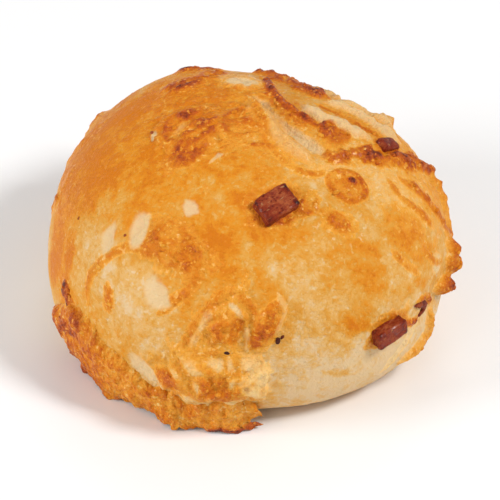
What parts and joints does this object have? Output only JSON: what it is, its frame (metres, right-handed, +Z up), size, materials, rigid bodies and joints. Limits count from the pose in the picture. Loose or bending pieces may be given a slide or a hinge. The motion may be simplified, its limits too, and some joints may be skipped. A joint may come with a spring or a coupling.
{
  "type": "cheese and bacon bread roll",
  "caption": "Domed round bread roll with melted grated cheese baked onto its crust and small dice of bacon set into it, standing on a flat base.",
  "frame": {"origin": "middle of the roll's flat base, on the surface that it stands on", "axes": "+Z up through the crown; -Y towards the side that has the lower cheese apron and the first dice of bacon"},
  "size_m": [0.0953, 0.0918, 0.057],
  "materials": {
    "crust": "satin baked crust with golden melted cheese",
    "bacon": "browned, slightly greasy meat"
  },
  "bodies": {
    "root": {"bread_roll": "crust", "bacon_dice_1": "bacon", "bacon_dice_2": "bacon", "bacon_dice_3": "bacon", "bacon_dice_4": "bacon", "bacon_dice_5": "bacon", "bacon_dice_6": "bacon"}
  },
  "joints": []
}
